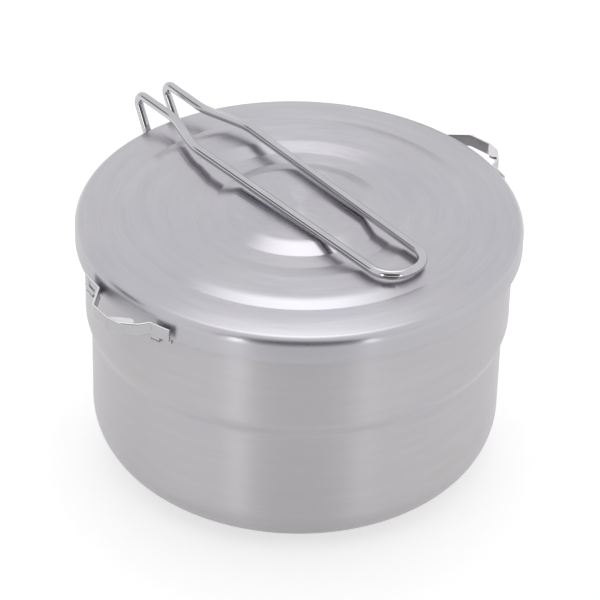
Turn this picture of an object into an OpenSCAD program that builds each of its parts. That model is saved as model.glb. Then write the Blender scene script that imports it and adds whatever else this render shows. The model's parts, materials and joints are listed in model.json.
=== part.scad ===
// Drawn steel camp pot: stepped body, ringed lid, wire handle that folds over the lid,
// and two strip side handles. Millimetres, +Z up, origin at the centre of the flat base.
// The wire handle runs along +X from its hinge on the -X side of the wall.

/* [Sheet] */
// Thickness of the pot and lid sheet
sheet_t = 0.8; // [0.6:0.1:1.2]

/* [Pot] */
// Outer radius of the wall below the step
lower_r = 93.1; // [90:0.1:94]
// Outer radius of the wall above the step
upper_r = 95.8; // [95:0.1:96.2]
// Height where the step starts
step_z = 66; // [40:1:80]
// Height of the sloping step
step_h = 5.5; // [4:0.5:10]
// Outer radius of the curve between base and wall
base_curve = 24; // [12:1:30]
// Radius of the rolled bead round the rim
bead_r = 1.5; // [1.2:0.1:1.6]

/* [Lid] */
// Outer radius of the lid skirt
lid_r = 100; // [99.8:0.1:101]
// Height of the lid edge above the base
lid_z = 121; // [115:1:130]
// Depth of the skirt from the lid edge down
skirt_h = 12.2; // [9:0.2:14]
// Outer radius of the roll between lid top and skirt
edge_roll = 4.5; // [3:0.5:6]
// Radius of the flat raised centre
disc_r = 30; // [24:1:34]
// Height of the raised centre above the lid edge
disc_h = 4; // [2:0.2:4.2]
// Height of the ring-shaped valley above the lid edge
valley_h = 1.6; // [0.8:0.2:2]
// Height of the outer plateau above the lid edge
plateau_h = 2.8; // [2:0.2:3.4]
// Height where the outer band meets the plateau
band_h = 1.1; // [0.4:0.1:1.6]

/* [Wire handle] */
// Diameter of the handle wire
wire_d = 4.2; // [3.6:0.1:4.4]
// Distance of the top bend from the pot axis
top_bend_x = 117; // [114:0.1:122]
// Height of the top bend above the lid edge
top_bend_h = 8.8; // [8.8:0.1:12]
// Distance of the grip end from the pot axis
grip_x = 72.6; // [60:0.1:74]
// Height of the grip end above the lid edge
grip_h = 6; // [6:0.1:8]
// Half the spacing of the legs at the grip end
grip_half = 12.6; // [12:0.2:16]
// Half the spacing of the legs where they have spread
spread_half = 15.3; // [13:0.1:16]
// Half the spacing of the legs above the hinge
neck_half = 7.9; // [7.5:0.1:8.5]
// How far the handle sits to the +Y side in its ears
side_play = 2.9; // [0:0.1:3]

/* [Hinge bracket] */
// Height of the hinge axis above the base
hinge_z = 100; // [98:0.5:101]
// Distance of the hinge axis from the pot axis
hinge_x = 99.8; // [99.7:0.1:100.4]
// Thickness of the bracket sheet
bracket_t = 1.5; // [1.2:0.1:1.6]
// Height of the bracket plate
bracket_h = 22; // [18:1:26]
// Half the distance between the inner faces of the ears
ear_half = 14.6; // [14.6:0.1:16]
// Diameter of the rivet shanks
rivet_d = 4; // [3:0.5:5]

/* [Side handles] */
// Thickness of the handle strip
strip_t = 1.2; // [1:0.1:1.4]
// Height of the strip
strip_h = 6.2; // [5:0.1:7]
// Distance of the crown from the pot axis
crown_y = 112.7; // [110:0.1:118]
// Turn of both side handles about the pot axis
side_turn = 2.3; // [-5:0.1:5]

/* [Hidden] */
$fn = 96;

wire_r = wire_d / 2;
steel = [0.80, 0.81, 0.83];
bright = [0.88, 0.89, 0.91];
arc_steps = 8;

// Points of an arc about [cx, cz], from angle a0 to a1
function arc(cx, cz, r, a0, a1, n = arc_steps) =
    [for (i = [0:n]) let (a = a0 + (a1 - a0) * i / n) [cx + r * cos(a), cz + r * sin(a)]];

// ---- Pot ----
rim_gap = 0.3;                                  // air between the bead and the skirt or the lid
bead_x = upper_r - sheet_t + bead_r;            // radius of the bead's centre line
bead_z = lid_z - sheet_t - rim_gap - bead_r - 0.5;

// The wall section, inset by the depth t from the outer surface
function pot_line(t) = concat(
    [[0, t], [lower_r - base_curve, t]],
    arc(lower_r - base_curve, base_curve, base_curve - t, -90, 0),
    [[lower_r - t, step_z], [upper_r - t, step_z + step_h], [upper_r - t, bead_z]]);

module pot_body() {
    outer = pot_line(0);
    inner = pot_line(sheet_t);
    color(steel) difference() {
        union() {
            rotate_extrude() polygon(concat(outer, [for (i = [len(inner) - 1:-1:0]) inner[i]]));
            rotate_extrude() translate([bead_x, bead_z]) circle(r = bead_r, $fn = 48);
        }
        for (z = rivet_z) translate([-upper_r - 2, 0, z]) rotate([0, 90, 0])
            cylinder(d = rivet_d, h = sheet_t + 4, $fn = 48);
    }
}

// ---- Lid ----
disc_foot = disc_r + 8.5;         // radius where the centre slopes into the valley
valley_out = 47.5;                 // the rings between here and the band, by radius
plateau_in = 56.5;
plateau_out = 72.5;
band_in = 79;

// The lid section, inset by the depth t below the top surface
function lid_line(t) = concat(
    [[0, lid_z + disc_h - t], [disc_r, lid_z + disc_h - t], [disc_foot, lid_z + valley_h - t],
     [valley_out, lid_z + valley_h - t], [plateau_in, lid_z + plateau_h - t],
     [plateau_out, lid_z + plateau_h - t], [band_in, lid_z + band_h - t]],
    arc(lid_r - edge_roll, lid_z - edge_roll, edge_roll - t, 90, 0),
    [[lid_r - t, lid_z - skirt_h]]);

module lid() {
    outer = lid_line(0);
    inner = lid_line(sheet_t);
    color(steel)
        rotate_extrude() polygon(concat(outer, [for (i = [len(inner) - 1:-1:0]) inner[i]]));
}

// ---- Bent wire ----
bend_swell = 0.05;                    // how much thicker the wire is in its bends
rod_lap = 0.3;                        // how far a straight runs into a bend
function unit(v) = v / norm(v);
function turn(a, b, c) = acos(unit(b - a) * unit(c - b));
// Length of straight wire that a bend of radius r takes from each side of the corner b
function setback(a, b, c, r) = r * tan(turn(a, b, c) / 2);

// A straight length of round wire between two points
module rod(a, b) {
    v = b - a;
    translate(a) rotate([0, acos(v[2] / norm(v)), atan2(v[1], v[0])])
        cylinder(r = wire_r, h = norm(v), $fn = 48);
}

// A round bend of radius r at the corner b between the straights ab and bc
module bend(a, b, c, r) {
    u = unit(b - a);
    w = unit(c - b);
    axis = unit(cross(u, w));
    out = cross(u, axis);
    centre = b - u * setback(a, b, c, r) - out * r;
    multmatrix([[out[0], u[0], axis[0], centre[0]],
                [out[1], u[1], axis[1], centre[1]],
                [out[2], u[2], axis[2], centre[2]],
                [0, 0, 0, 1]])
        rotate_extrude(angle = turn(a, b, c)) translate([r, 0]) circle(r = wire_r + bend_swell, $fn = 48);
}

// Wire through the points p, with the bend radius r[i] at p[i]
module wire(p, r) {
    last = len(p) - 1;
    for (i = [1:last - 1]) bend(p[i - 1], p[i], p[i + 1], r[i]);
    for (i = [0:last - 1]) {
        d = unit(p[i + 1] - p[i]);
        cut0 = i == 0 ? 0 : setback(p[i - 1], p[i], p[i + 1], r[i]) - rod_lap;
        cut1 = i == last - 1 ? 0 : setback(p[i], p[i + 1], p[i + 2], r[i + 1]) - rod_lap;
        rod(p[i] + d * cut0, p[i + 1] - d * cut1);
    }
}

// ---- Wire handle ----
pin_out = 3.8;                        // how far each wire end stands out past its ear
leg_half = 8.8;                       // half the spacing of the legs at the hinge
jog_in_x = 85.6;                      // the legs spread between these two distances
jog_out_x = 62;
grip_slope = (top_bend_h - grip_h) / (top_bend_x + grip_x);
function run_z(x) = lid_z + top_bend_h - (x + top_bend_x) * grip_slope;

// One leg, on the side s, from its pin to the corner of the grip end
function leg_points(s) = [
    [-hinge_x, s * (ear_half + bracket_t + pin_out), hinge_z],
    [-hinge_x, s * leg_half, hinge_z],
    [-top_bend_x, s * neck_half, run_z(-top_bend_x)],
    [-jog_in_x, s * neck_half, run_z(-jog_in_x)],
    [-jog_out_x, s * spread_half, run_z(-jog_out_x)],
    [grip_x, s * grip_half, run_z(grip_x)]];
leg_bends = [0, 3.2, 4.2, 30, 30, 11.5];
function back(list) = [for (i = [len(list) - 1:-1:0]) list[i]];

module wire_handle() {
    color(bright) translate([0, side_play, 0])
        wire(concat(leg_points(-1), back(leg_points(1))), concat(leg_bends, back(leg_bends)));
}

// ---- Hinge bracket ----
ear_tip = 5.2;                        // radius of the round ear end
pin_fit = 0.1;                        // running clearance round the wire ends
plate_out = upper_r + bracket_t;
plate_z = hinge_z - bracket_h / 2 - 2;
plate_mid = plate_z + bracket_h / 2;
rivet_dz = 7.5;                       // rivets above and below the bracket's middle
rivet_z = [plate_mid - rivet_dz, plate_mid + rivet_dz];

module hinge_bracket() {
    color(steel) difference() {
        union() {
            intersection() {
                difference() {
                    translate([0, 0, plate_z]) cylinder(r = plate_out, h = bracket_h);
                    translate([0, 0, plate_z - 1]) cylinder(r = upper_r, h = bracket_h + 2);
                }
                translate([-plate_out - 1, -ear_half - bracket_t, plate_z - 1])
                    cube([12, 2 * (ear_half + bracket_t), bracket_h + 2]);
            }
            for (s = [-1, 1]) translate([0, s * (ear_half + bracket_t / 2), 0]) ear();
        }
        for (s = [-1, 1]) translate([-hinge_x, s * (ear_half + bracket_t / 2), hinge_z])
            rotate([90, 0, 0]) cylinder(r = wire_r + pin_fit, h = bracket_t + 2, center = true, $fn = 64);
        for (z = rivet_z) translate([-upper_r + 1, 0, z]) rotate([0, -90, 0])
            cylinder(d = rivet_d, h = bracket_t + 2, $fn = 48);
    }
}

// One ear: a plate folded out from the bracket, with a round end about the hinge axis
module ear() {
    wall_x = sqrt(upper_r * upper_r - (ear_half + bracket_t) * (ear_half + bracket_t));
    translate([-hinge_x, 0, hinge_z]) rotate([90, 0, 0])
        cylinder(r = ear_tip, h = bracket_t, center = true, $fn = 64);
    translate([-hinge_x, -bracket_t / 2, hinge_z - ear_tip])
        cube([hinge_x - wall_x - 0.9, bracket_t, 2 * ear_tip]);
}

module hinge_rivets() {
    color(bright) for (z = rivet_z) translate([0, 0, z]) rotate([0, -90, 0]) rivet();
}

// A rivet along the radius through the wall and the bracket, with a low round head on each side
module rivet() {
    head_r = rivet_d * 0.85;
    head_h = 1.3;
    wall_in = upper_r - sheet_t;
    translate([0, 0, wall_in - 0.2]) cylinder(d = rivet_d, h = sheet_t + bracket_t + 0.4, $fn = 48);
    translate([0, 0, plate_out]) rotate_extrude() rivet_head(head_r, head_h);
    translate([0, 0, wall_in - 0.05]) mirror([0, 0, 1]) rotate_extrude() rivet_head(head_r, head_h);
}

// Half section of a low head that stands on z = 0
module rivet_head(r, h) {
    polygon(concat([[0, 0]], [for (i = [0:6]) let (a = 90 * i / 6) [r * cos(a), h * sin(a)]]));
}

// ---- Side handles ----
strip_top = lid_z - 5.2;              // height of the strip's top edge
foot_r = lid_r + 3.2;                 // radius of the outer face of both feet
flange_w = 3.8;                       // width of the flat finger flange
skirt_z = lid_z - skirt_h;
tab_top = skirt_z - 0.5;              // the foot tabs pass under the skirt with this air
tab_h = 4.6;
tab_t = strip_t - 0.4;                // the tabs are thinner than the strip
tab_r = foot_r - 0.2;                 // outer radius of the tabs, within the strip's thickness
tab_inset = [0.5, 5];                 // how much shorter a tab is than its foot at its -X and +X ends

foot_a = [-27, -15];                  // the pressed-mark foot and the plain foot, from x to x
foot_b = [19.5, 29.4];
fold_r = 1.8;                         // radius of the folds, on the centre line

// Points of the foot's centre line at x
function on_foot(x) = let (r = foot_r - strip_t / 2) [x, -sqrt(r * r - x * x)];
function foot_line(x, n = 6) = [for (i = [0:n]) on_foot(x[0] + (x[1] - x[0]) * i / n)];

// Corners of the handle between its feet on the -Y side
strip_line = [on_foot(foot_a[1]), [-6.4, -crown_y + 1.2], [4.5, -crown_y], [11, -crown_y + 1.3],
    [17.4, -crown_y + 6.8], on_foot(foot_b[0])];

// The points that round the corner b of the line a, b, c with the radius r
function fold(a, b, c, r, n = 4) = let (
        u = unit(b - a),
        w = unit(c - b),
        side = sign(u[0] * w[1] - u[1] * w[0]),
        angle = acos(u * w),
        start = b - u * r * tan(angle / 2),
        centre = start + side * r * [-u[1], u[0]])
    [for (i = [0:n]) let (t = side * angle * i / n, v = start - centre)
        centre + [v[0] * cos(t) - v[1] * sin(t), v[0] * sin(t) + v[1] * cos(t)]];

// The whole centre line, with its folds
folds = [for (i = [1:len(strip_line) - 2])
    for (p = fold(strip_line[i - 1], strip_line[i], strip_line[i + 1], fold_r)) p];
whole_line = concat(foot_line(foot_a), folds, foot_line(foot_b));

// Half the thickness t to the left of the line at point i, mitred at the corners
function left_of(p, i, t) = let (
        u = unit(p[max(i, 1)] - p[max(i, 1) - 1]),
        w = unit(p[min(i, len(p) - 2) + 1] - p[min(i, len(p) - 2)]),
        nu = [-u[1], u[0]],
        m = unit(nu + [-w[1], w[0]]))
    m * (t / 2) / (m * nu);

// The outline of a strip of thickness t along the line p
module strip_outline(p, t) {
    last = len(p) - 1;
    polygon(concat([for (i = [0:last]) p[i] + left_of(p, i, t)],
                   [for (i = [last:-1:0]) p[i] - left_of(p, i, t)]));
}

// A ring wall about the pot axis between two radii, cut to the stretch x[0] to x[1] on the -Y side
module ring_stretch(r_in, r_out, z, h, x) {
    intersection() {
        difference() {
            translate([0, 0, z]) cylinder(r = r_out, h = h);
            translate([0, 0, z - 1]) cylinder(r = r_in, h = h + 2);
        }
        translate([x[0], -r_out - 1, z - 1]) cube([x[1] - x[0], 30, h + 2]);
    }
}

// The tab that carries a foot: it drops from the foot, turns in under the skirt and lies on the pot wall
module foot_tab(x) {
    level_z = tab_top - tab_t;
    drop = strip_top - strip_h - level_z + 0.5;
    ring_stretch(tab_r - tab_t, tab_r, level_z, drop, x);
    ring_stretch(upper_r, tab_r, level_z, tab_t, x);
    ring_stretch(upper_r, upper_r + tab_t, tab_top - tab_h, tab_h, x);
}

// The flat finger flange along the inner side of the crown's end and the arm
module flange() {
    arm = unit(strip_line[4] - strip_line[3]);
    arm_end = strip_line[4] - arm * 2;
    inward = [-arm[1], arm[0]] * flange_w;
    translate([0, 0, strip_top - strip_t]) linear_extrude(height = strip_t)
        polygon([strip_line[2], strip_line[3] + [-1, 0], arm_end, arm_end + inward, strip_line[3] + inward]);
}

// The shallow pressed mark on the outside of the first foot
module pressed_mark() {
    ring_stretch(foot_r - 0.5, foot_r + 1, strip_top - 4.4, 2.8, [foot_a[0] + 3, foot_a[0] + 9.3]);
}

// The handle on the -Y side, before its turn
module side_handle() {
    difference() {
        union() {
            translate([0, 0, strip_top - strip_h]) linear_extrude(height = strip_h)
                strip_outline(whole_line, strip_t);
            for (x = [foot_a, foot_b]) foot_tab([x[0] + tab_inset[0], x[1] - tab_inset[1]]);
            flange();
        }
        pressed_mark();
    }
}

module side_handle_left() {
    color(bright) rotate([0, 0, side_turn]) side_handle();
}

module side_handle_right() {
    color(bright) rotate([0, 0, side_turn]) mirror([0, 1, 0]) side_handle();
}

pot_body();
lid();
wire_handle();
hinge_bracket();
hinge_rivets();
side_handle_left();
side_handle_right();
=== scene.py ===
import json
from math import asin, atan2, cos, degrees, pi, radians, sin, sqrt, tan

import bmesh
import bpy
from mathutils import Matrix, Vector


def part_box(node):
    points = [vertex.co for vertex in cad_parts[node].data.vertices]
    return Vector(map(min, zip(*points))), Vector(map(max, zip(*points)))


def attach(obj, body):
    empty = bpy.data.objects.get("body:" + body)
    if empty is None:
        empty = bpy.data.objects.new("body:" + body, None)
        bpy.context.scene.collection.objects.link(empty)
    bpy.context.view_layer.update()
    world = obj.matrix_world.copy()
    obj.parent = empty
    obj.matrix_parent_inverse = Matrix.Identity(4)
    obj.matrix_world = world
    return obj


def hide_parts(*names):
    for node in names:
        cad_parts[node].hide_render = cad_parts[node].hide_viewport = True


# Looks of the lidded camp pot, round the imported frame. Metres, +Z up, the handle's grip toward +X.
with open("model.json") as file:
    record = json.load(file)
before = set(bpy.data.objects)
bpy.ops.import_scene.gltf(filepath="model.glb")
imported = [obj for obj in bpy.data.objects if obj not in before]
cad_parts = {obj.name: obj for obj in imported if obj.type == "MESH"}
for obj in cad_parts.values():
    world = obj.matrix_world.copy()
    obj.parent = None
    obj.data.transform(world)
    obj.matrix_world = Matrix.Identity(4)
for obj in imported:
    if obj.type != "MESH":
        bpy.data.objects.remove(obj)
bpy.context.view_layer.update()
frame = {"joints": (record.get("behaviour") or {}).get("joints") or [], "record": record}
MM = 0.001
TINY = 1e-9

pot_low, pot_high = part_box("pot_body")
lid_low, lid_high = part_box("lid")
wire_low, wire_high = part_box("wire_handle")
plate_low, plate_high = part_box("hinge_bracket")
rivet_low, rivet_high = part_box("hinge_rivets")
hinge_x, _, hinge_z = next(j for j in frame["joints"] if j["type"] == "hinge")["pos_m"]
bodies = {n: b for b, ns in frame["record"]["behaviour"]["bodies"].items() for n in ns}


# ---- Meshes ----
def piece(name, verts, faces, node, material, sharp, bevel=None):
    """A mesh object that stands for one CAD node. Edges that bend by more than sharp degrees stay sharp."""
    mesh = bpy.data.meshes.new(name)
    mesh.from_pydata([tuple(v) for v in verts], [], faces)
    mesh.validate()
    bm = bmesh.new()
    bm.from_mesh(mesh)
    bmesh.ops.remove_doubles(bm, verts=bm.verts, dist=0.0001 * MM)
    bmesh.ops.recalc_face_normals(bm, faces=bm.faces)
    bm.to_mesh(mesh)
    bm.free()
    obj = bpy.data.objects.new(name, mesh)
    bpy.context.scene.collection.objects.link(obj)
    if bevel:
        mod = obj.modifiers.new("Edges", "BEVEL")
        mod.width, mod.segments, mod.limit_method = bevel, 3, "ANGLE"
        mod.angle_limit = radians(50)
        mod.harden_normals = True
    mesh.polygons.foreach_set("use_smooth", [True] * len(mesh.polygons))
    mesh.set_sharp_from_angle(angle=radians(sharp))
    mesh.materials.append(material)
    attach(obj, bodies[node])
    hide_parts(node)


def rounded(points, radii, step):
    """The polyline with its inner corners turned into arcs, with a point every step degrees or less."""
    points = [Vector(p).to_3d() for p in points]
    out = [points[0]]
    for a, b, c, r in zip(points, points[1:], points[2:], radii[1:]):
        u, w = (b - a).normalized(), (c - b).normalized()
        angle = u.angle(w)
        if r == 0 or angle < 1e-4:
            out.append(b)
            continue
        axis = u.cross(w).normalized()
        side = axis.cross(u)
        centre = b - u * r * tan(angle / 2) + side * r
        n = max(3, int(angle / radians(step)) + 1)
        out += [centre + Matrix.Rotation(angle * k / n, 3, axis) @ (-side * r) for k in range(n + 1)]
    return out + [points[-1]]


def resampled(points, longest):
    """The same line with no stretch longer than the given length."""
    out = [points[0]]
    for a, b in zip(points, points[1:]):
        n = max(1, int((b - a).length / longest) + 1)
        out += [a.lerp(b, k / n) for k in range(1, n + 1)]
    return out


def inset(line, depth):
    """The profile line moved sideways by depth, to the right of its direction."""
    out = []
    for i, p in enumerate(line):
        d = (line[min(i + 1, len(line) - 1)] - line[max(i - 1, 0)]).normalized()
        out.append(Vector((p.x + d.y * depth, p.y - d.x * depth, 0)))
    return out


def arc(cx, cy, r, start, end, n):
    """Points of a circle's arc, angles in degrees."""
    angles = [radians(start + (end - start) * k / n) for k in range(n + 1)]
    return [Vector((cx + r * cos(a), cy + r * sin(a), 0)) for a in angles]


def lathe(profile, turns):
    """Vertices and faces of the profile (radius, height) turned about Z. Points on the axis are shared."""
    verts, rings, faces = [], [], []
    for r, z in profile:
        if r < TINY:
            rings.append([len(verts)] * turns)
            verts.append((0, 0, z))
        else:
            rings.append([len(verts) + k for k in range(turns)])
            verts += [(r * cos(2 * pi * k / turns), r * sin(2 * pi * k / turns), z) for k in range(turns)]
    for a, b in zip(rings, rings[1:]):
        for k in range(turns):
            m = (k + 1) % turns
            face = [a[k], a[m], b[m], b[k]]
            faces.append([v for i, v in enumerate(face) if v not in face[:i]])
    return verts, faces


def sweep(path, section, ends, up=None):
    """The section (across, along up) carried along the path.

    ends is a (scale, shift inward) for each ring of an end, from the outermost.
    """
    last = len(path) - 1
    tangents = [(path[min(i + 1, last)] - path[max(i - 1, 0)]).normalized() for i in range(last + 1)]
    normal = (up or Vector((0.3, 0.2, 1))).cross(tangents[0]).normalized()
    rings = []
    for i, (p, t) in enumerate(zip(path, tangents)):
        normal = up.cross(t).normalized() if up else (normal - t * normal.dot(t)).normalized()
        along = t.cross(normal)
        if i == 0:
            rings += [(p + t * shift, normal, along, scale) for scale, shift in ends]
        elif i == last:
            rings += [(p - t * shift, normal, along, scale) for scale, shift in reversed(ends)]
        else:
            rings.append((p, normal, along, 1))
    verts, faces = [], []
    for p, across, along, scale in rings:
        verts += [p + across * s[0] * scale + along * s[1] * scale for s in section]
    m = len(section)
    for i in range(len(rings) - 1):
        for k in range(m):
            a, b = i * m + k, i * m + (k + 1) % m
            faces.append([a, b, b + m, a + m])
    faces.append(list(range(m))[::-1])
    faces.append([len(verts) - m + k for k in range(m)])
    return verts, faces


def joined(*parts):
    """Several (vertices, faces) as one."""
    verts, faces = [], []
    for v, f in parts:
        faces += [[i + len(verts) for i in face] for face in f]
        verts += v
    return verts, faces


# ---- Nodes ----
def put(socket, value):
    """Links a node's output to the socket, or sets a plain value on the socket itself."""
    if isinstance(value, bpy.types.NodeSocket):
        socket.id_data.links.new(value, socket)
    else:
        socket.default_value = value


def add(tree, kind, inputs, **settings):
    """A new shader node with its settings and its inputs, the inputs by name or number."""
    node = tree.nodes.new("ShaderNode" + kind)
    for key, value in settings.items():
        setattr(node, key, value)
    for key, value in inputs.items():
        put(node.inputs[key], value)
    return node


def maths(operation, a, b=None):
    """The result of one Math node on the socket a and, where given, the socket or number b."""
    inputs = {0: a} if b is None else {0: a, 1: b}
    return add(a.id_data, "Math", inputs, operation=operation).outputs[0]


def times(a, b):
    return maths("MULTIPLY", a, b)


def plus(a, b):
    return maths("ADD", a, b)


def noise(at, scale, detail):
    return add(at.id_data, "TexNoise", {"Vector": at, "Scale": scale, "Detail": detail}).outputs["Fac"]


def map_range(value, before, after):
    """The value moved from the range before to the range after, and held inside it."""
    inputs = {"Value": value, "From Min": before[0], "From Max": before[1],
              "To Min": after[0], "To Max": after[1]}
    return add(value.id_data, "MapRange", inputs).outputs["Result"]


def colour_ramp(value, low, high, low_colour, high_colour):
    """One colour up to low, the other from high, and a blend of them between."""
    ramp = add(value.id_data, "ValToRGB", {"Fac": value})
    first, second = ramp.color_ramp.elements
    first.position, first.color = low, (*low_colour, 1)
    second.position, second.color = high, (*high_colour, 1)
    return ramp.outputs["Color"]


def mix_colour(a, b, factor, blend="MIX"):
    inputs = {"Factor": factor, "A": a, "B": b}
    return add(a.id_data, "Mix", inputs, data_type="RGBA", blend_type=blend).outputs["Result"]


# ---- Materials ----
GRAIN = 700  # scale of the brushing across its lines, per metre
LINE_DEPTH = 0.02 * MM


def new_metal(name):
    """A new metal material, its shader and its object coordinates."""
    mat = bpy.data.materials.new(name)
    mat.use_nodes = True
    bsdf = mat.node_tree.nodes["Principled BSDF"]
    bsdf.inputs["Metallic"].default_value = 1
    return mat, bsdf, add(mat.node_tree, "TexCoord", {}).outputs["Object"]


def split(coords):
    return add(coords.id_data, "SeparateXYZ", {0: coords}).outputs


def engrave(bsdf, height, strength):
    """Fine lines in the shader's surface."""
    bump = add(bsdf.id_data, "Bump", {"Height": height, "Strength": strength, "Distance": LINE_DEPTH})
    put(bsdf.inputs["Normal"], bump.outputs["Normal"])


def axis_distance(coords):
    x, y, _ = split(coords)
    return maths("SQRT", plus(times(x, x), times(y, y)))


def ring_noise(coords, height, scale_round, scale_across, detail):
    """Noise that is long round the Z axis and short along height."""
    x, y, _ = split(coords)
    radius = maths("MAXIMUM", axis_distance(coords), 0.4 * MM)
    at = add(coords.id_data, "CombineXYZ", {0: times(maths("DIVIDE", x, radius), scale_round),
                                            1: times(maths("DIVIDE", y, radius), scale_round),
                                            2: times(height, scale_across)})
    return noise(at.outputs[0], 1, detail)


def ring_steel(name, colour, rough, flat, bump, tone, low_shade_and_rough):
    """Brushed steel whose grain runs round the Z axis, on a flat top or on a wall.

    tone is how far the colour varies across the grain. The last argument is (low, high, level, rougher): from
    the height high down to low, the colour falls to level, a painted shade, and the roughness rises by
    rougher.
    """
    mat, bsdf, coords = new_metal(name)
    z = split(coords)["Z"]
    height = axis_distance(coords) if flat else z
    fine = ring_noise(coords, height, 5, 2.6 * GRAIN, 3)
    broad = ring_noise(coords, height, 2.2, 0.3 * GRAIN, 4)
    grain = plus(times(fine, 0.45), times(broad, 0.55))
    haze = noise(coords, 22, 5)
    low, high, level, rougher = low_shade_and_rough
    # Painted shade: below high the colour is darkened, fully so at low. The same mask makes the steel
    # rougher.
    low_shade_and_rough_mask = map_range(z, (low, high), (1, 0))

    streaks = colour_ramp(grain, 0.3, 0.7, [c * (1 - tone) for c in colour], [c * (1 + tone) for c in colour])
    clouds = colour_ramp(haze, 0.35, 0.65, (0.965, 0.968, 0.98), (1, 0.998, 0.99))
    steel = mix_colour(streaks, clouds, 1, "MULTIPLY")
    put(bsdf.inputs["Base Color"], mix_colour(steel, (level, level, level, 1), low_shade_and_rough_mask, "MULTIPLY"))

    # The grain and the haze spread the roughness evenly round rough
    by_grain, by_haze = 0.14, 0.06
    spread = plus(plus(times(grain, by_grain), times(haze, by_haze)), times(low_shade_and_rough_mask, rougher))
    put(bsdf.inputs["Roughness"], plus(spread, rough - (by_grain + by_haze) / 2))

    engrave(bsdf, grain, bump)
    tangent = add(mat.node_tree, "Tangent", {}, direction_type="RADIAL", axis="Z")
    put(bsdf.inputs["Tangent"], tangent.outputs[0])
    bsdf.inputs["Anisotropic"].default_value = 0.9
    bsdf.inputs["Anisotropic Rotation"].default_value = 0.25
    return mat


def polished_steel(name, colour, rough, stretch=None, bump=0, highlight_z=None):
    """Bright steel with small rubbed patches, and a painted highlight above the height in its last argument.

    stretch is the scale of its faint drawing lines along each axis, and bump is their strength.
    """
    mat, bsdf, coords = new_metal(name)
    rub = noise(coords, 90, 6)
    shade = colour_ramp(rub, 0.35, 0.7, [c * 0.94 for c in colour], colour)
    if highlight_z:
        # Painted highlight: above that height the colour is mixed to a lighter grey, for top edges that
        # mirror the light.
        painted_highlight = map_range(split(coords)["Z"], (highlight_z, highlight_z + 0.15 * MM), (0, 1))
        shade = mix_colour(shade, (0.74, 0.735, 0.745, 1), painted_highlight)
    put(bsdf.inputs["Base Color"], shade)
    put(bsdf.inputs["Roughness"], map_range(rub, (0, 1), (rough * 0.7, rough * 1.5)))
    if stretch:
        at = add(mat.node_tree, "Mapping", {"Vector": coords, "Scale": stretch}).outputs[0]
        engrave(bsdf, noise(at, 1, 4), bump)
    return mat


# ---- Lid ----
sheet = 0.8 * MM
lid_r = lid_high.x
disc, valley, plateau = 4, 1.6, 2.8  # heights over the lid's edge, in mm
lid_edge = lid_high.z - disc * MM
skirt_top, skirt_bend = lid_edge - 0.86 * MM, 4.5 * MM
# Down the skirt the lid's steel gets rougher, and its colour a little darker as painted shade.
lid_steel = ring_steel("lid_steel", (0.531, 0.522, 0.551), 0.23, True, 0.008, 0.05,
                       (lid_high.z - 8.5 * MM, lid_high.z - 5.5 * MM, 0.96, 0.16))

# The outer band falls away ever more steeply, then rolls over into the skirt
band_r, band_h, band_fall, band_step = 79, 1.1, 0.0046, 2.8
band_mm = [(band_r + t, band_h - band_fall * t * t) for t in [band_step * k for k in range(1, 6)]]
rings_mm = [(0, disc), (30, disc), (38.5, valley), (47.5, valley), (56.5, plateau), (72.5, plateau),
            (band_r, band_h)]
ring_bends_mm = [0, 12, 3, 5, 12, 20, 3]
top = [(r * MM, lid_edge + h * MM) for r, h in rings_mm + band_mm]
skirt = [(lid_r, skirt_top), (lid_r, lid_low.z + sheet / 2)]
lid_bends = [r * MM for r in ring_bends_mm] + [0] * len(band_mm) + [skirt_bend, 0]
lid_line = resampled(rounded(top + skirt, lid_bends, 1.6), 4 * MM)
under = inset(lid_line, sheet)
under[0].x = 0
hem = arc(lid_r - sheet / 2, lid_low.z + sheet / 2, sheet / 2, 0, -180, 6)
lid_profile = [(p.x, p.y) for p in lid_line + hem[1:-1] + under[::-1]]
piece("lid_shell", *lathe(lid_profile, 256), "lid", lid_steel, 60)

# ---- Pot ----
lower_r, upper_r, step_z, step_h = 93.1 * MM, 95.8 * MM, 66 * MM, 5.5 * MM
base_bend, step_bend = 24 * MM, 9 * MM
base_z = pot_low.z
bead_r = 1.5 * MM
bead_x, bead_z = pot_high.x - bead_r, pot_high.z - bead_r
touch = asin((bead_x - upper_r) / bead_r)  # where the wall meets the bead, from straight below the bead
# From 22 mm down to the base the pot's colour falls to 0.80: painted shade, for the shadowed floor that the
# base mirrors.
pot_steel = ring_steel("pot_steel", (0.530, 0.511, 0.530), 0.40, False, 0.03, 0.055, (0, 22 * MM, 0.80, 0))
wall = [(0, base_z), (lower_r, base_z), (lower_r, step_z), (upper_r, step_z + step_h),
        (upper_r, bead_z - bead_r * cos(touch))]
pot_line = resampled(rounded(wall, [0, base_bend, step_bend, step_bend, 0], 5), 6 * MM)
inner = inset(pot_line, -sheet)
inner[0].x = 0
inner[-1].y = bead_z
bead = arc(bead_x, bead_z, bead_r, -90 - degrees(touch), 180, 20)
pot_profile = [(p.x, p.y) for p in pot_line + bead[1:-1] + inner[::-1]]
piece("pot_shell", *lathe(pot_profile, 224), "pot_body", pot_steel, 60)

# ---- Wire handle ----
wire_r = 2.1 * MM
wire_sides = 28
play = (wire_low.y + wire_high.y) / 2  # the wire stands this far to one side in its ears
pin_half = wire_high.y - play
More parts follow.
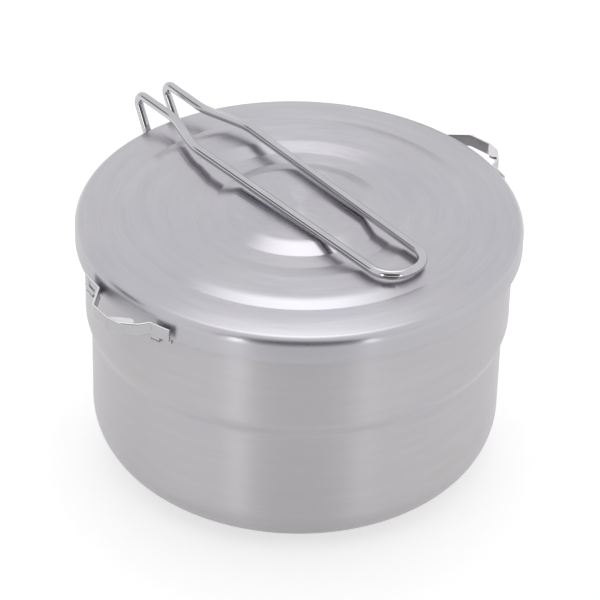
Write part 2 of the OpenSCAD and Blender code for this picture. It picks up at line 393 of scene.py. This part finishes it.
# Half of the legs' spacing: at the hinge, along the neck, past the jog and at the grip end
hinge_half, neck_half, jog_half, grip_half = 8.8 * MM, 7.9 * MM, 15.3 * MM, 12.6 * MM
top_bend_x, jog_start_x, jog_end_x, grip_x = -117 * MM, -85.6 * MM, -62 * MM, wire_high.x - wire_r
top_bend_h, grip_h = 8.8 * MM, 6 * MM  # heights of the wire's middle over the lid's edge
slope = (top_bend_h - grip_h) / (grip_x - top_bend_x)
leg_bends = [r * MM for r in (0, 3.2, 4.2, 30, 30, 11.5)]
wire_steel = polished_steel("wire_steel", (0.568, 0.56, 0.582), 0.10)


def over_lid(x, half, side):
    """A point of one leg over the lid, at x."""
    return (x, play + side * half, lid_edge + top_bend_h - (x - top_bend_x) * slope)


def leg(side):
    """One leg from its pin's end to the grip end. side is -1 or 1."""
    return [(hinge_x, play + side * pin_half, hinge_z), (hinge_x, play + side * hinge_half, hinge_z),
            over_lid(top_bend_x, neck_half, side), over_lid(jog_start_x, neck_half, side),
            over_lid(jog_end_x, jog_half, side), over_lid(grip_x, grip_half, side)]


round_section = [(wire_r * cos(2 * pi * k / wire_sides), wire_r * sin(2 * pi * k / wire_sides))
                 for k in range(wire_sides)]
pin_ends = ((0.55, 0), (0.82, 0.12 * MM), (0.96, 0.4 * MM), (1, 0.9 * MM))
wire_line = resampled(rounded(leg(-1) + leg(1)[::-1], leg_bends + leg_bends[::-1], 4), 8 * MM)
piece("wire_bail", *sweep(wire_line, round_section, pin_ends), "wire_handle", wire_steel, 60)

# ---- Hinge bracket ----
bracket_t = 1.5 * MM
plate_half = plate_high.y
plate_out = upper_r + bracket_t
plate_corner = 2.2 * MM
ear_tip, pin_hole = 5.2 * MM, 2.2 * MM
ear_sunk = 0.6 * MM  # how far the ear reaches into the plate
plate_steel = polished_steel("plate_steel", (0.62, 0.62, 0.62), 0.26, (90, 90, 1400), 0.15)


def curved_plate():
    """The plate on the wall at -X. Its columns crowd toward its sides, for the round corners."""
    cols, rows = 24, 10
    verts, faces = [], []
    for r in (upper_r, plate_out):
        for i in range(cols + 1):
            y = -plate_half * cos(pi * i / cols)
            into_corner = max(0, abs(y) - (plate_half - plate_corner))
            cut = plate_corner - sqrt(max(0, plate_corner ** 2 - into_corner ** 2))
            low, high = plate_low.z + cut, plate_high.z - cut
            verts += [(-sqrt(r * r - y * y), y, low + (high - low) * k / rows) for k in range(rows + 1)]
    n = (cols + 1) * (rows + 1)
    for i in range(cols):
        for k in range(rows):
            a = i * (rows + 1) + k
            quad = [a, a + 1, a + rows + 2, a + rows + 1]
            faces += [quad, [v + n for v in quad[::-1]]]
    rim = list(range(rows + 1)) + [i * (rows + 1) + rows for i in range(1, cols + 1)]
    rim += [cols * (rows + 1) + k for k in range(rows - 1, -1, -1)]
    rim += [i * (rows + 1) for i in range(cols - 1, 0, -1)]
    faces += [[a, b, b + n, a + n] for a, b in zip(rim, rim[1:] + rim[:1])]
    return verts, faces


def ear(side):
    """A plate across the hinge axis: a round end with the pin hole, running back into the bracket's plate."""
    steps = 48
    back = -sqrt(upper_r ** 2 - plate_half ** 2) - (bracket_t - ear_sunk) - hinge_x
    verts, faces = [], []
    for y in (plate_half - bracket_t, plate_half):
        for k in range(steps):
            c, s = cos(2 * pi * k / steps), sin(2 * pi * k / steps)
            reach = min(back / max(c, TINY), ear_tip / max(abs(s), TINY)) if c > 0 else ear_tip
            verts += [(hinge_x + r * c, side * y, hinge_z + r * s) for r in (pin_hole, reach)]
    n = 2 * steps
    for k in range(steps):
        m = (k + 1) % steps
        i0, o0, i1, o1 = 2 * k, 2 * k + 1, 2 * m, 2 * m + 1
        faces += [[i0, o0, o1, i1], [i0 + n, i1 + n, o1 + n, o0 + n], [i0, i1, i1 + n, i0 + n],
                  [o0, o0 + n, o1 + n, o1]]
    return verts, faces


bracket = joined(curved_plate(), ear(-1), ear(1))
piece("hinge_plate", *bracket, "hinge_bracket", plate_steel, 35, bevel=0.2 * MM)

# ---- Rivets ----
shank_r, head_r, head_h = 2 * MM, 3.4 * MM, 1.3 * MM
rivet_steel = polished_steel("rivet_steel", (0.70, 0.70, 0.70), 0.15, (300, 300, 300), 0.08)


def rivet(z):
    """A round-headed rivet along the radius at -X, through the wall and the bracket."""
    wall_in = upper_r - sheet
    angles = [pi / 2 * k / 8 for k in range(9)]
    outer_head = [(head_r * cos(a), plate_out + head_h * sin(a)) for a in angles[::-1]]
    inner_head = [(head_r * cos(a), wall_in - head_h * sin(a)) for a in angles]
    verts, faces = lathe(outer_head + [(shank_r, plate_out), (shank_r, wall_in)] + inner_head, 40)
    return [(-v[2], v[0], z + v[1]) for v in verts], faces


rivets = joined(rivet(rivet_low.z + head_r), rivet(rivet_high.z - head_r))
piece("rivet_pair", *rivets, "hinge_rivets", rivet_steel, 50)

# ---- Side handles: drawn on -Y, with places along X and Y in mm ----
strip_t, strip_h = 1.2 * MM, 6.2 * MM
strip_top = lid_edge - 5.2 * MM
strip_corner = 0.5 * MM
foot_r = lid_r + 3.2 * MM
turn = radians(2.3)
crown_r = 112.7
foot_a, foot_b = (-27, -15), (19.5, 29.4)
crown = [(-6.4, -crown_r + 1.2), (4.5, -crown_r), (11, -crown_r + 1.3), (17.4, -crown_r + 6.8)]
foot_bend, crown_bend = 1, 2.6
# The plain pressed mark on foot A: its ends, the width of its sloping sides and its depth
mark, mark_slope, mark_depth = (-24, -17.7), 0.3, 0.5 * MM
mark_levels = (1.45 * MM, 1.6 * MM, 4.4 * MM, 4.55 * MM)  # down from the strip's top
tab_t, tab_r, tab_top = strip_t - 0.4 * MM, foot_r - 0.2 * MM, lid_low.z - 0.5 * MM
tab_lap, tab_drop = 0.5 * MM, 4.6 * MM  # height behind the foot, and height on the wall
tab_in, tab_short = 0.5, 5  # how far the tab's two ends stand in from the foot's
flange_w, flange_corner, flange_short, flange_sunk = 3.8, 2.6, 2, 0.15 * MM
strip_ends = ((0.9, 0), (1, 0.15 * MM))
# The strip's top edge and flange, above the last height given, get a painted highlight.
strip_steel = polished_steel("strip_steel", (0.46, 0.452, 0.46), 0.17, (80, 80, 1200), 0.03,
                             lid_high.z - 9.5 * MM)


def on_foot(x):
    """The middle of the strip's thickness on a foot, at x."""
    r = (foot_r - strip_t / 2) / MM
    return (x, -sqrt(r * r - x * x))


def strip_path():
    """The strip's middle line: foot A, the crown and foot B."""
    # Foot A has a station every 1.5 mm, which takes in one end of each slope of the mark, and two for their
    # other ends
    stations = [foot_a[0] + 1.5 * k for k in range(9)] + [mark[0] + mark_slope, mark[1]]
    a_line = [on_foot(x) for x in sorted(stations)]
    b_line = [on_foot(foot_b[0] + (foot_b[1] - foot_b[0]) * k / 8) for k in range(9)]
    radii = [0] * (len(a_line) - 1) + [foot_bend] + [crown_bend] * len(crown)
    radii += [foot_bend] + [0] * (len(b_line) - 1)
    middle = Vector((0, 0, strip_top - strip_h / 2))
    return [p * MM + middle for p in rounded(a_line + crown + b_line, radii, 10)]


def strip_section():
    """The strip's section with round corners, and four more points on the outer side for the mark."""
    out = []
    for k, (sx, sy) in enumerate(((1, 1), (-1, 1), (-1, -1), (1, -1))):
        cx, cy = sx * (strip_t / 2 - strip_corner), sy * (strip_h / 2 - strip_corner)
        out += [(p.x, p.y) for p in arc(cx, cy, strip_corner, 90 * k, 90 * k + 90, 3)]
    out[8:8] = [(-strip_t / 2, strip_h / 2 - level) for level in mark_levels]
    return out


def strip():
    """The bent strip with the mark pressed in."""
    section = strip_section()
    verts, faces = sweep(strip_path(), section, strip_ends, Vector((0, 0, 1)))
    for i in range(0, len(verts), len(section)):
        x = sum(v.x for v in verts[i:i + len(section)]) / len(section) / MM
        if mark[0] + mark_slope / 2 < x < mark[1] - mark_slope / 2:
            # The middle two of the section's four points for the mark
            for k in (i + 9, i + 10):
                verts[k] = verts[k] - Vector((verts[k].x, verts[k].y, 0)).normalized() * mark_depth
    return verts, faces


def ring_block(r0, r1, z0, z1, x0, x1):
    """A block between two radii, from x0 to x1."""
    steps = 8
    verts, faces = [], []
    for i in range(steps + 1):
        x = (x0 + (x1 - x0) * i / steps) * MM
        verts += [(x, -sqrt(r * r - x * x), z) for r, z in ((r0, z0), (r1, z0), (r1, z1), (r0, z1))]
    for i in range(steps):
        for k in range(4):
            a, b = i * 4 + k, i * 4 + (k + 1) % 4
            faces.append([a, b, b + 4, a + 4])
    return verts, faces + [[3, 2, 1, 0], [len(verts) - 4 + k for k in range(4)]]


def tab(foot):
    """A foot's tab, shorter than the foot: down behind it, in under the skirt and down the wall."""
    x0, x1 = foot[0] + tab_in, foot[1] - tab_short
    low = tab_top - tab_t
    return joined(ring_block(tab_r - tab_t, tab_r, low, strip_top - strip_h + tab_lap, x0, x1),
                  ring_block(upper_r, tab_r, low, tab_top, x0, x1),
                  ring_block(upper_r, upper_r + tab_t, tab_top - tab_drop, tab_top, x0, x1))


def flange():
    """The flat finger flange, turned in from the strip's top along the end of the crown."""
    middle, knee, far = [Vector(p).to_3d() for p in crown[1:]]
    arm = (far - knee).normalized()
    inward = Vector((-arm.y, arm.x, 0)) * flange_w
    end = far - arm * flange_short
    outline = [middle, knee - Vector((1, 0, 0)), end, end + inward, knee + inward]
    outline = rounded(outline, [0, 0, 0, flange_corner, 0], 15)
    m = len(outline)
    verts = [(p.x * MM, p.y * MM, z) for z in (strip_top - strip_t, strip_top - flange_sunk) for p in outline]
    faces = [[k, (k + 1) % m, (k + 1) % m + m, k + m] for k in range(m)]
    return verts, faces + [list(range(m))[::-1], [m + k for k in range(m)]]


def side_handle(name, node, mirrored):
    """One side handle, turned with its pair about the pot's axis."""
    verts, faces = joined(strip(), tab(foot_a), tab(foot_b), flange())
    out = []
    for v in verts:
        x, y = v[0], -v[1] if mirrored else v[1]
        out.append((x * cos(turn) - y * sin(turn), x * sin(turn) + y * cos(turn), v[2]))
    piece(name, out, faces, node, strip_steel, 45)


side_handle("strip_handle_left", "side_handle_left", False)
side_handle("strip_handle_right", "side_handle_right", True)

# ---- Floor and softboxes ----
camera_at = Vector((0.9184, -0.7557, 0.8823))
aim = Vector((0, 0, 0.08))  # the point that the softboxes face


def toward(azimuth, elevation):
    """A direction, in degrees. Azimuth is measured from the camera's side, positive to the camera's right."""
    a, e = atan2(camera_at.y, camera_at.x) + radians(azimuth), radians(elevation)
    return Vector((cos(a) * cos(e), sin(a) * cos(e), sin(e)))


def floor(size, z, level, glow):
    """A pale matt floor that glows a little, so that it stays pale all over."""
    mesh = bpy.data.meshes.new("floor")
    corners = [(x * size, y * size, z) for x, y in ((-1, -1), (1, -1), (1, 1), (-1, 1))]
    mesh.from_pydata(corners, [], [(0, 1, 2, 3)])
    mat = bpy.data.materials.new("floor")
    mat.use_nodes = True
    look = {"Base Color": (level, level, level, 1), "Roughness": 0.9, "Specular IOR Level": 0,
            "Emission Color": (1, 1, 1, 1), "Emission Strength": glow}
    for socket, value in look.items():
        mat.node_tree.nodes["Principled BSDF"].inputs[socket].default_value = value
    mesh.materials.append(mat)
    obj = bpy.data.objects.new("floor", mesh)
    bpy.context.scene.collection.objects.link(obj)


def softbox(name, azimuth, elevation, distance, width, height, power):
    """An area light that faces the pot."""
    light = bpy.data.lights.new(name, "AREA")
    light.shape, light.size, light.size_y, light.energy = "RECTANGLE", width, height, power
    away = toward(azimuth, elevation) * distance
    obj = bpy.data.objects.new(name, light)
    obj.matrix_world = Matrix.Translation(away + aim) @ away.to_track_quat("Z", "Y").to_matrix().to_4x4()
    bpy.context.scene.collection.objects.link(obj)


floor(6, base_z - 0.2 * MM, 0.60, 0.56)
softbox("front_left", -27, 9, 1.5, 0.16, 0.5, 1.3)
softbox("front_right", 34, 9, 1.5, 0.12, 0.5, 0.6)

# ---- Room: pale all round, with three dark patches and a bright one for the steel to mirror ----
world = bpy.data.worlds.new("studio")
bpy.context.scene.world = world
world.use_nodes = True
tree = world.node_tree
sky = tree.nodes["Background"]
direction = add(tree, "TexCoord", {}).outputs["Generated"]


def sky_patch(azimuth, elevation, inner, outer, level):
    """1 outside a round patch of the sky and level inside it. inner and outer are degrees from its middle."""
    nearness = add(tree, "VectorMath", {0: direction, 1: toward(azimuth, elevation)}, operation="DOT_PRODUCT")
    return map_range(nearness.outputs["Value"], (cos(radians(outer)), cos(radians(inner))), (1, level))


toward_camera = sky_patch(0, 24, 26, 40, 0.14)
at_its_left = sky_patch(-93, 24, 6, 13, 0.04)
low_behind = sky_patch(170, 0, 4, 9, 0.15)
high_behind = sky_patch(180, 66, 6, 18, 2.5)
put(sky.inputs["Strength"], times(times(times(toward_camera, at_its_left), low_behind), high_behind))
sky.inputs["Color"].default_value = (0.95, 0.95, 0.955, 1)

# ---- Camera: turned down, sideways and about its own axis, in radians, and then about Z ----
pitch, yaw, roll, heading = 0.5972, 0.0008, 0.0265, radians(50.55)
ahead = Vector((0, cos(pitch), -sin(pitch)))
right_hand = Vector((1, 0, 0))
up = Vector((0, sin(pitch), cos(pitch)))
ahead, right_hand = ahead * cos(yaw) + right_hand * sin(yaw), right_hand * cos(yaw) - ahead * sin(yaw)
right_hand, up = right_hand * cos(roll) + up * sin(roll), up * cos(roll) - right_hand * sin(roll)
spin = Matrix.Rotation(heading, 3, "Z")
axes = Matrix([spin @ right_hand, spin @ up, spin @ -ahead]).transposed()
cam = bpy.data.cameras.new("camera")
cam.lens, cam.sensor_width = 190.3, 36
cam_obj = bpy.data.objects.new("camera", cam)
cam_obj.matrix_world = Matrix.Translation(camera_at) @ axes.to_4x4()
bpy.context.scene.collection.objects.link(cam_obj)
bpy.context.scene.camera = cam_obj
bpy.context.scene.view_settings.view_transform = "Standard"
